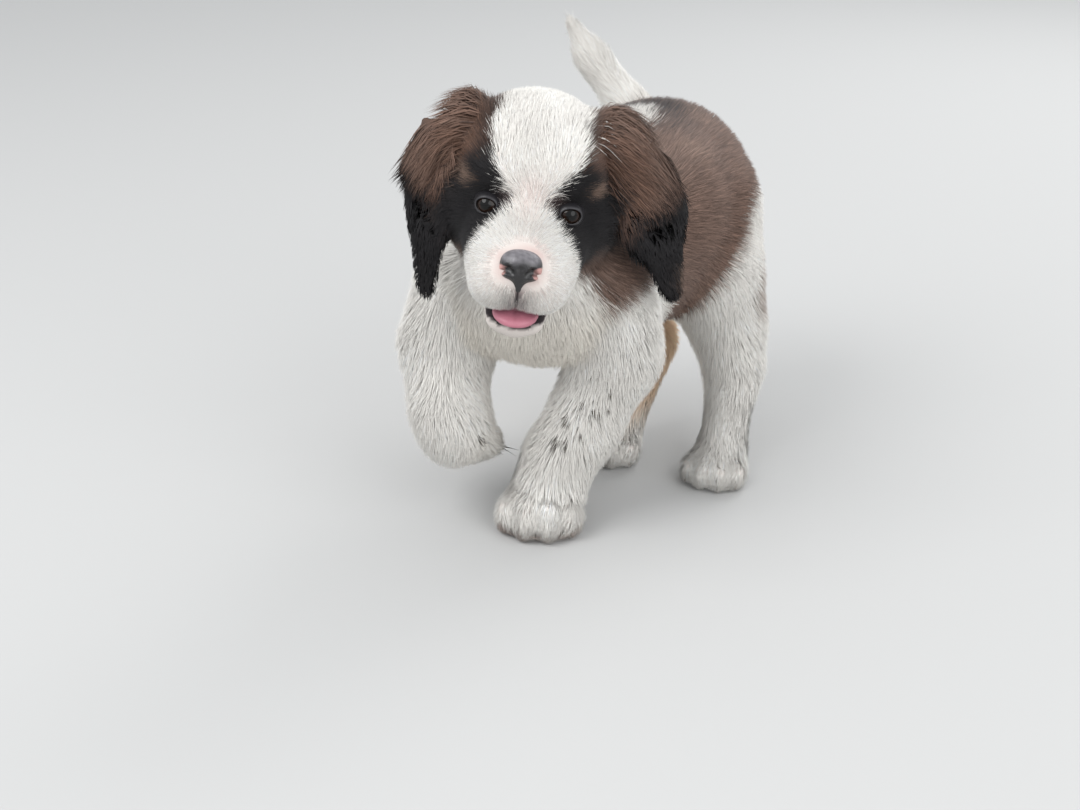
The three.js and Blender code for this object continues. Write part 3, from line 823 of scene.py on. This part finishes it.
def eye_ball(name, place, look):
    ball = bmesh.new()
    bmesh.ops.create_uvsphere(ball, u_segments=48, v_segments=40, radius=EYE_RADIUS)
    mesh = mesh_from(name, ball)
    p = points_of(mesh)
    away = np.hypot(p[:, 0], p[:, 1] - IRIS_LIFT)
    front = p[:, 2] > 0
    p[:, 2] += np.where(front, 0.8 * np.exp(-(away / 4.4) ** 2), 0)
    tint(mesh, layered(
        p, SCLERA,
        (SCLERA * 0.15, ramp(np.abs(p[:, 0]), 4.0, 6.0)),
        (IRIS * 0.3, ramp(IRIS_RADIUS - away, -0.5, 0.2) * front),
        (IRIS, np.exp(-((away - 4.7) / 0.9) ** 2) * front),
        (PUPIL, ramp(PUPIL_RADIUS - away, 0, 0.4) * front)))
    piece = put(name + "_ball", mesh, moved(p, look_frame(place, look)), eye_finish, "eye")
    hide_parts(name)
    unwrap(piece)


def eyelids(name, place, look):
    """Lids: a ring of a closed section, spun round the look, then laid over the ball from the almond
    opening out to where it sinks into the face."""
    top = [(t, 1.0) for t in np.linspace(0, 1, 7)]
    bottom = [(t, 0.0) for t in np.linspace(1, 0.05, 5)]
    section = bmesh.new()
    verts = [section.verts.new((1 + t, 0, level)) for t, level in top + bottom]
    for first, second in zip(verts, verts[1:] + verts[:1]):
        section.edges.new((first, second))
    bmesh.ops.spin(section, geom=section.verts[:] + section.edges[:], cent=(0, 0, 0), axis=(0, 0, 1),
                   angle=math.tau, steps=64, use_merge=True)
    bmesh.ops.remove_doubles(section, verts=section.verts, dist=1e-4)
    mesh = mesh_from(name + "_lids", section)
    p = points_of(mesh)
    share = np.hypot(p[:, 0], p[:, 1]) - 1
    angle = np.arctan2(p[:, 1], p[:, 0])
    level = p[:, 2].copy()
    wide, tall = OPENING_HALF_WIDTH, np.where(angle > 0, OPENING_ABOVE, OPENING_BELOW)
    half_sizes = [side * (1 - share) + LID_REACH * share for side in (wide, tall)]
    p[:, 0], p[:, 1] = half_sizes[0] * np.cos(angle), half_sizes[1] * np.sin(angle)
    fold = 0.5 * np.exp(-((share - 0.12) / 0.12) ** 2)
    shell = EYE_RADIUS + 0.15 + level * (0.9 + fold)
    away = np.hypot(p[:, 0], p[:, 1])
    p[:, 2] = np.sqrt(np.clip(shell ** 2 - away ** 2, 2, None)) - 2.2 * share ** 2
    # A lighter grey band along the lids' rim is a painted highlight, standing in for the gloss on the rim.
    tint(mesh, layered(p, LID, (LID * 3.5, np.exp(-((share - 0.1) / 0.07) ** 2))))
    piece = put(name + "_lids", mesh, moved(p, look_frame(place, look)), lid_finish, "dark_coat")
    work = bmesh.new()
    work.from_mesh(mesh)
    bmesh.ops.recalc_face_normals(work, faces=work.faces)
    work.to_mesh(mesh)
    work.free()
    unwrap(piece)


for eye_name, (eye_at, eye_look) in EYES.items():
    eye_ball(eye_name, eye_at, eye_look)
    eyelids(eye_name, eye_at, eye_look)


# Nose
NOSE_BLACK = np.array((0.007, 0.006, 0.007))
NOSE_GREY = np.array((0.17, 0.16, 0.175))
nostril_dents = both_sides(lambda s: blend(
    2,
    taper((s * 5.4, -NOSE_FORWARD - 2.5, -32), (s * 8.4, -NOSE_FORWARD - 1, -30), 2.2, 2.5),
    taper((s * 8.4, -NOSE_FORWARD - 1, -30), (s * 12.8, -NOSE_FORWARD + 3, -33), 1.9, 0.7)))
groove = taper((0, -NOSE_FORWARD - 2.5, -29), (0, -NOSE_FORWARD - 2, -46), 0.8, 1.5)


def nose_field(p):
    d = nose_pad(p)
    for dent in nostril_dents:
        d = -soft_min(-d, dent(p), 2)
    return -soft_min(-d, groove(p), 2)


def cast_ball(name, centre, segments, field):
    """A ball whose points go out along their rays to where the field is zero, in the head's frame."""
    ball = bmesh.new()
    bmesh.ops.create_uvsphere(ball, u_segments=segments, v_segments=segments * 3 // 4, radius=1)
    mesh = mesh_from(name, ball)
    rays = unit(points_of(mesh))
    reach = np.full(len(rays), 0.2)
    for _ in range(80):
        reach -= np.clip(field(np.array(centre) + rays * reach[:, None]) * 0.5, -0.6, 0.6)
    return mesh, np.array(centre) + rays * reach[:, None]


nose_mesh, nose_points = cast_ball("nose_pad", (0, -NOSE_FORWARD + 9, -30), 96, nose_field)
x, _, z = nose_points.T
# Grey over the top of the nose, black below.
grey_top = ramp(z + 0.9 * waves(nose_points, 2.2, 52), -27, -22.5) * (0.8 + 0.2 * waves(nose_points, 0.8, 53))
wing = np.exp(-((np.abs(x) - 12.4) / 3.6) ** 2 - ((z + 31.5) / 4.2) ** 2) * np.where(x > 0, 1.0, 0.7)
# Inside the nostrils the black is painted darker still: painted shade in the holes.
hole = np.minimum(nostril_dents[0](nose_points), nostril_dents[1](nose_points))
tint(nose_mesh, layered(
    nose_points, NOSE_BLACK,
    (NOSE_GREY, np.clip(grey_top, 0, 1)),
    (PINK * 0.8, ramp(wing + 0.03 * waves(nose_points, 2, 51), 0.3, 0.42)),
    (NOSE_BLACK * 0.2, ramp(0.6 - hole, 0, 1.0))))
nose = put("nose_pad", nose_mesh, moved(nose_points, HEAD), leather_finish, "nose_leather")
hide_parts("nose")
unwrap(nose)


# Tongue, with a groove down its middle
TONGUE_PINK = np.array((0.46, 0.165, 0.215))
TONGUE_BACK_SHADE = np.array((0.30, 0.08, 0.09))


def tongue_field(p):
    middle = 1.3 * np.exp(-(p[:, 0] / 2.2) ** 2) * (p[:, 2] > -62 + (p[:, 1] + 60) * 0.3)
    return tongue_form(p) + middle


tongue_mesh, tongue_points = cast_ball("tongue_flap", (0, -64, -60), 56, tongue_field)
# The back of the tongue, deep in the mouth, is painted darker: painted shade.
tint(tongue_mesh, layered(tongue_points, TONGUE_PINK, (TONGUE_BACK_SHADE, ramp(tongue_points[:, 1], -82, -60))))
tongue = put("tongue_flap", tongue_mesh, moved(tongue_points, HEAD), tongue_finish, "mouth_pink")
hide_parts("tongue")
unwrap(tongue)


CLAW_DROOP = 0.9


# Claws, which barely show among the hair of the toes
def claws():
    horn = bmesh.new()
    for name, paw in PAWS.items():
        s = paw["size"]
        for x, y in TOES:
            claw = bmesh.ops.create_cone(horn, cap_ends=True, segments=10, radius1=1.9 * s, radius2=0.5,
                                         depth=7 * s)
            root = (x * 1.05 * PAW_WIDTH * s, y * PAW_LENGTH * s - 9.0 * s, 7 * s)
            place = (PAW_FRAMES[name] @ Matrix.Translation(root)
                     @ Matrix.Rotation(math.pi / 2 + CLAW_DROOP, 4, "X"))
            bmesh.ops.transform(horn, matrix=place, verts=claw["verts"])
    mesh = mesh_from("claws", horn)
    unwrap(put("claws", mesh, points_of(mesh), claw_finish, "dark_coat"))


claws()


# Whiskers: long bent spikes on the sides of the muzzle
def whiskers():
    hairs = bmesh.new()
    for s in (1, -1):
        for row in range(3):
            for column in range(3):
                stray = RNG.normal(0, 0.14, 3)
                root = Vector((s * (21 + column * 2.2), MUZZLE_END + 14 + column * 6, -35 - row * 5))
                root += Vector(stray * 8)
                out = Vector((s * 0.9, -0.3 + 0.3 * column, -0.1 - 0.22 * row)) + Vector(stray)
                length = 17 + 4 * column + 9 * RNG.random()
                hair = bmesh.ops.create_cone(hairs, cap_ends=True, segments=4, radius1=0.15, radius2=0.03,
                                             depth=length, matrix=Matrix.Translation((0, 0, length / 2)))
                bmesh.ops.subdivide_edges(
                    hairs, cuts=3,
                    edges=[e for e in {e for v in hair["verts"] for e in v.link_edges}
                           if abs(e.verts[0].co.z - e.verts[1].co.z) > 1])
                own = [v for v in hairs.verts if not v.tag]
                rotation = out.normalized().to_track_quat("Z", "Y").to_matrix().to_4x4()
                for v in own:
                    v.tag = True
                    along = v.co.z / length
                    v.co = Matrix.Translation(root) @ rotation @ v.co
                    v.co.z -= 5 * along ** 2
    mesh = mesh_from("whiskers", hairs)
    unwrap(put("whiskers", mesh, moved(points_of(mesh), HEAD), whisker_finish, "white_coat"))


whiskers()


# Coat. Roots are drawn on the skin by area and density, and each tuft is a thin spike, straight or bent.
def ways(p, x, y, z):
    """Vectors at points, whose numbers may be the same for all."""
    return np.stack(np.broadcast_arrays(x + 0 * p[:, 0], y, z), axis=1)


def flows(p, rows, normals):
    """The way the coat lies at points: down the body, back from the nose, along legs and tail."""
    near = part_shares(rows, 80, 5.0)
    x, y, z = p.T
    total = np.zeros((len(p), 3))
    q = in_head(p)
    for i, name in enumerate(NAMES):
        if name == "torso":
            front = ramp(-y, 62, 84)[:, None]
            way = ways(p, 0, 1, -0.55 * ramp(250 - z, 0, 60)) * (1 - front)
            way += ways(p, 0.1 * np.sign(x), 0, -1) * front
        elif name == "neck":
            front = ramp(-y, 95, 125)[:, None]
            way = ways(p, -0.1, 1, -0.7) * (1 - front) + ways(p, 0.15 * np.sign(x), 0.1, -1) * front
        elif name == "tail":
            stops = np.array(TAIL_STOPS, float)
            distance = np.linalg.norm(p[:, None] - stops[None], axis=2)
            way = (np.exp(-(distance / 22) ** 2) + 1e-9) @ unit(np.gradient(stops, axis=0))
        elif name == "head":
            way = q - np.array((0, -NOSE_FORWARD, -30))
            way[:, 1] += 30
            way[:, 2] -= 20 * (1 - ramp(q[:, 2], 20, 60)) + 40 * ramp(q[:, 1], 20, 60)
            way = turned(unit(way), HEAD)
        elif name == "jaw":
            way = turned(ways(p, 0.2 * np.sign(q[:, 0]), 1, -0.5), HEAD)
        elif name in EARS:
            local = moved(p, EAR_FRAMES[name].inverted())
            way = turned(ways(p, local[:, 0] * 0.014, -0.25, -1), EAR_FRAMES[name])
        elif name in PAWS:
            way = turned(ways(p, 0, -1, -0.75), PAW_FRAMES[name])
        else:
            way = ways(p, 0, 0.45 if name.startswith("thigh") else 0.15, -1)
        total += unit(way) * near[i][:, None]
    total -= normals * (total * normals).sum(axis=1)[:, None]
    return unit(total)


def part_value(rows, values):
    return np.array([values[name] for name in NAMES]) @ part_shares(rows, 60, 4.0)


# Groups of the coat: the parts that it stands on, how many tufts they have, whether the tufts are bent,
# half their width, and the record's slot
GROUPS = {
    "coat_torso": (["torso"], 70000, False, 0.62, "brown_coat"),
    "coat_neck": (["neck", "tail"], 42000, False, 0.58, "white_coat"),
    "coat_legs": (list(LEGS), 76000, False, 0.52, "white_coat"),
    "coat_ears": (list(EARS), 18000, True, 0.50, "dark_coat"),
    "coat_fluff": (["head", *EARS], 12000, True, 0.42, "brown_coat"),
    "coat_head": (["head", "jaw"], 68000, False, 0.40, "dark_coat"),
    "coat_paws": (list(PAWS), 40000, False, 0.48, "white_coat"),
}
PIECE_FACES = 190000
PATCH_SIZE = 0.003
# Tufts' roots are painted darker than their colour: painted shade down among the hairs.
ROOT_PAINTED_SHADE = 0.9
CLUMP_SIZE = 14
BARE_EYE_RING = 7.6


def skin_triangles():
    """Corners of the skin's triangles, their places on the map, and which part owns each."""
    mesh = skin.data
    mesh.calc_loop_triangles()
    count = len(mesh.loop_triangles)
    corners = np.empty(count * 3, np.int32)
    loops = np.empty(count * 3, np.int32)
    mesh.loop_triangles.foreach_get("vertices", corners)
    mesh.loop_triangles.foreach_get("loops", loops)
    uv = np.empty(len(mesh.loops) * 2)
    mesh.uv_layers["OFBake"].data.foreach_get("uv", uv)
    corners = skin_points[corners.reshape(-1, 3)]
    patches = uv.reshape(-1, 2)[loops.reshape(-1, 3)]
    middle = corners.mean(axis=1)
    first, second = corners[:, 1] - corners[:, 0], corners[:, 2] - corners[:, 0]
    area = np.linalg.norm(np.cross(first, second), axis=1) / 2
    owner = skin_heights(middle).argmin(axis=0)
    bare = (mouth_share(middle) > 0.3) | (middle[:, 2] < 3)
    local = in_head(middle)
    bare |= nose_pad(local) < 0.3
    for place, look in EYES.values():
        away = local - place
        ahead = away @ look
        ring = np.linalg.norm(away - ahead[:, None] * look, axis=1)
        bare |= (ring < BARE_EYE_RING) & (ahead > 0)
    weight = area * (1 + 1.2 * muzzle_share(middle)) * (1 - bare)
    return corners, patches, owner, weight


def drawn(corners, patches, chance, count):
    """Places drawn on triangles, with their places on the map."""
    picks = RNG.choice(len(corners), count, p=chance / chance.sum())
    u, v = RNG.random((2, count))
    over = u + v > 1
    u[over], v[over] = 1 - u[over], 1 - v[over]
    weights = np.stack([1 - u - v, u, v], axis=1)[:, :, None]
    return (corners[picks] * weights).sum(axis=1), (patches[picks] * weights).sum(axis=1)


def clumped(tips, share):
    """Tips drawn a little towards the tip of the nearest leading tuft."""
    leaders = np.arange(0, len(tips), CLUMP_SIZE)
    tree = KDTree(len(leaders))
    for i, leader in enumerate(leaders):
        tree.insert(tips[leader], i)
    tree.balance()
    nearest = np.array([tree.find(tip)[1] for tip in tips])
    return tips + (tips[leaders[nearest]] - tips) * share[:, None]


BENT_SPIKE = np.array([
    (0, 2, 1), (0, 1, 4), (0, 4, 3), (1, 2, 5), (1, 5, 4), (2, 0, 3), (2, 3, 5), (3, 4, 6), (4, 5, 6),
    (5, 3, 6)])
STRAIGHT_SPIKE = np.array([(0, 2, 1), (0, 1, 3), (1, 2, 3), (2, 0, 3)])


def tuft_mesh(name, stops, ways, across, lift, half_width, patches, colours, tips):
    """Tufts as closed spikes of three sides, with or without a bend. Their normals lean to the skin's,
    so that the coat takes light as one soft surface."""
    n = len(half_width)
    sides = [(1.0, 0.0), (-1.0, 0.0), (0.0, 0.6)]
    points, normals, painted_shades, spots = [], [], [], []
    for ring, stop in enumerate(stops[:-1]):
        fullness = 1.0 if ring or len(stops) == 2 else 0.8
        for s, up in sides:
            points.append(stop + across * (s * half_width * fullness)[:, None]
                          + lift[ring] * (up * half_width * fullness)[:, None])
            normals.append(lift[ring] + across * s * 0.6)
            # The root ring is painted darker: painted shade among the hairs.
            painted_shades.append(ROOT_PAINTED_SHADE if ring == 0 else 1.0)
            spots.append((s * 0.5, ring * 0.3 + up * 0.1))
    points.append(stops[-1])
    normals.append(lift[-1] + ways * 0.25)
    painted_shades.append(1.0)
    spots.append((0.0, 0.5))
    points, normals = np.stack(points, axis=1), np.stack(normals, axis=1)
    size = points.shape[1]
    pattern = BENT_SPIKE if size == 7 else STRAIGHT_SPIKE
    faces = (pattern[None] + (np.arange(n) * size)[:, None, None]).reshape(-1, 3)
    mesh = bpy.data.meshes.new(name)
    mesh.vertices.add(n * size)
    mesh.vertices.foreach_set("co", metres(points.reshape(-1, 3)).ravel())
    mesh.loops.add(len(faces) * 3)
    mesh.loops.foreach_set("vertex_index", faces.ravel().astype(np.int32))
    mesh.polygons.add(len(faces))
    mesh.polygons.foreach_set("loop_start", np.arange(0, len(faces) * 3, 3, dtype=np.int32))
    mesh.update(calc_edges=True)
    tinted = colours[:, None, :] * np.array(painted_shades)[None, :, None]
    tinted[:, -1] = tips
    tint(mesh, tinted.reshape(-1, 3))
    places = patches[:, None] + np.array(spots)[None] * PATCH_SIZE
    layer = mesh.uv_layers.new(name="OFBake")
    layer.data.foreach_set("uv", places.reshape(-1, 2)[faces.ravel()].ravel())
    smooth(mesh)
    mesh.normals_split_custom_set_from_vertices(unit(normals.reshape(-1, 3)))
    return mesh


def ear_share(p, depth, measure):
    """The measure of the height along an ear, for points on either ear, and 0 elsewhere."""
    share = np.zeros(len(p))
    for name, ear in EARS.items():
        local = moved(p, EAR_FRAMES[name].inverted())
        on_ear = (np.abs(local[:, 0]) < ear["width"] * 0.6) & (np.abs(local[:, 1]) < depth)
        share = np.maximum(share, on_ear * measure(local[:, 2], ear["length"]))
    return share


def fluff_share(p):
    """1 where the hair stands off: at the sides of the crown and on the roots of the ears."""
    q = in_head(p)
    crown = ramp(np.abs(q[:, 0]), 30, 48) * ramp(q[:, 1], -34, -8) * ramp(q[:, 2], 2, 24)
    roots = ear_share(p, 30, lambda z, length: (z < 16) * ramp(z, -length * 0.4, -6))
    return np.maximum(crown, roots)


def ear_top(p):
    """1 on the ears' upper ends."""
    return ear_share(p, 30, lambda z, length: ramp(z, -34, -10))


def tip_share(p):
    """1 at the tips of the ears, where the hair is short and flat."""
    return ear_share(p, 40, lambda z, length: ramp(-z / length, 0.35, 0.75))


def grow(name, corners, patches, chance, count, bent, half):
    """One group of tufts, as meshes small enough for one piece."""
    roots, spots = drawn(corners, patches, chance, count)
    rows = skin_heights(roots)
    _, normals = slope(roots)
    way = flows(roots, rows, normals)
    face, fluff, short = muzzle_share(roots), fluff_share(roots), tip_share(roots)
    muddy = mud_share(roots + way * 5) if name in ("coat_legs", "coat_paws") else np.zeros(count)
    if name not in ("coat_head", "coat_ears", "coat_fluff"):
        face, fluff, short = face * 0, fluff * 0, short * 0
    top = np.zeros(count)
    if name == "coat_fluff":
        top = ear_top(roots)
        out = turned(ways(roots, 1.2 * np.sign(in_head(roots)[:, 0]), 0.1, -0.6), HEAD)
        way = unit(way + 2.0 * out - (0, 0, 1.0) - 1.6 * normals * (out * normals).sum(axis=1)[:, None])
    swing = RNG.normal(0, 0.13, count) + 0.2 * waves(roots, 9, 61)
    way = unit(way + np.cross(way, normals) * swing[:, None])
    across = unit(np.cross(way, normals))
    length = part_value(rows, COAT_LENGTH) * (1 - 0.3 * face) * (1 - 0.6 * short) * (1 - 0.5 * muddy)
    length = (length + fluff * 6 + top * 8) * RNG.uniform(0.75, 1.2, count)
    depth = part_value(rows, SKIN_DEPTH) - BARE_FACE_RISE * bare_face(roots) * (name == "coat_head")
    rise = depth * RNG.uniform(0.6, 1.0, count) + fluff * RNG.uniform(0.5, 3, count)
    rise += 1.2 * muddy
    if name == "coat_fluff":
        rise += top * RNG.uniform(0, 5, count)
    half_width = half * np.clip(length / 14, 0.6, 1.2) * RNG.uniform(0.8, 1.25, count)
    half_width *= 1 + 0.8 * muddy
    tip = roots + way * length[:, None] + normals * rise[:, None]
    above, tip_normal = slope(tip)
    # Fluff isn't drawn down far, so that it spans the hollow between the crown and the ears.
    tip -= tip_normal * np.clip(above - rise, -6, 3 if name == "coat_fluff" else 12)[:, None]
    tip[:, 2] -= fluff * 2
    tip = clumped(tip, RNG.uniform(0.05, 0.32, count) * (1 - 0.5 * face))
    tip[:, 2] = np.maximum(tip[:, 2], 0.6)  # above the floor
    stops, lift = [roots - normals * 1.2, tip], [normals, tip_normal]
    if bent:
        bend = roots + way * (length * 0.5)[:, None] + normals * (rise * 0.6)[:, None]
        above, bend_normal = slope(bend)
        bend -= bend_normal * (above - rise * 0.62)[:, None]
        bend[:, 2] = np.maximum(bend[:, 2], 0.8)
        stops.insert(1, bend)
        lift.insert(1, bend_normal)
    stray = 1.8 if name in ("coat_head", "coat_paws") else 3.0
    colours = coat_colour(roots + RNG.normal(0, stray, (count, 3)), rows)
    pale = colours.mean(axis=1) > 0.4
    vary = 1 + RNG.normal(0, 0.07, count) * np.where(pale, 1.0 + face, 2.2) + 0.05 * waves(roots, 6, 63)
    colours = np.clip(colours * vary[:, None], 0.002, 0.93)
    tips = colours * np.where(pale, 1.02, RNG.uniform(0.6, 1.75, count))[:, None]
    tips, colours = mix(tips, MUD, muddy), mix(colours, MUD * 1.3, muddy * 0.9)
    order = np.argsort(roots[:, 1])
    pieces = math.ceil(count / (PIECE_FACES // len(BENT_SPIKE if bent else STRAIGHT_SPIKE)))
    for i, pick in enumerate(np.array_split(order, pieces)):
        yield tuft_mesh(f"{name}_{i + 1}", [stop[pick] for stop in stops], way[pick], across[pick],
                        [side[pick] for side in lift], half_width[pick], spots[pick], colours[pick],
                        tips[pick])


def build_coat():
    corners, patches, owner, weight = skin_triangles()
    for name, (parts, count, bent, half, slot_name) in GROUPS.items():
        chance = weight * np.isin(owner, [NAMES.index(part) for part in parts])
        if name == "coat_fluff":
            middle = corners.mean(axis=1)
            dark = coat_colour(middle, skin_heights(middle)).mean(axis=1) < 0.25
            chance = chance * fluff_share(middle) * dark
        for mesh in grow(name, corners, patches, chance, count, bent, half):
            link(mesh.name, mesh, coat_finish, slot_name)


build_coat()


# Set: a pale floor, soft lights and the photo's camera
def floor():
    ground = bmesh.new()
    bmesh.ops.create_grid(ground, x_segments=1, y_segments=1, size=6)
    mesh = mesh_from("floor", ground)
    piece = stand("floor", mesh)
    mesh.materials.append(Finish("floor_paint", (0.50, 0.50, 0.495), 0.85).material)


floor()


def area_light(name, place, target, size, power):
    lamp = bpy.data.lights.new(name, "AREA")
    lamp.shape = "DISK"
    lamp.size = size
    lamp.energy = power
    piece = stand(name, lamp)
    piece.location = place
    piece.rotation_euler = (Vector(target) - Vector(place)).to_track_quat("-Z", "Y").to_euler()


area_light("key", (-0.9, -1.6, 2.0), (0, 0, 0.2), 1.8, 38)
area_light("fill", (1.8, -0.8, 1.1), (0, 0, 0.2), 2.0, 20)
area_light("rim", (0.4, 1.9, 1.5), (0, 0, 0.25), 1.4, 18)
world = bpy.data.worlds.new("studio")
bpy.context.scene.world = world
world.use_nodes = True
world.node_tree.nodes["Background"].inputs["Color"].default_value = (0.86, 0.88, 0.90, 1)

PITCH, AZIMUTH, CAMERA_HEIGHT = 25.0, 28.0, 592.0
LENS_PIXELS, FRAME_PIXELS, CAMERA_REACH = 1560.0, 1080.0, 1050.0
AIM = np.array((18.0, -95.0, 0.0))


def camera():
    azimuth, pitch = math.radians(AZIMUTH), math.radians(PITCH)
    ahead = np.array((-math.sin(azimuth), math.cos(azimuth), 0))
    place = AIM - ahead * CAMERA_REACH + (0, 0, CAMERA_HEIGHT)
    forward = ahead * math.cos(pitch) - np.array((0, 0, math.sin(pitch)))
    data = bpy.data.cameras.new("camera")
    data.sensor_width = 36
    data.lens = LENS_PIXELS / FRAME_PIXELS * 36
    data.clip_start = 0.01
    piece = stand("camera", data)
    piece.location = metres(place)
    piece.rotation_euler = Vector(forward).to_track_quat("-Z", "Y").to_euler()
    bpy.context.scene.camera = piece


camera()
bpy.context.scene.view_settings.view_transform = "Standard"
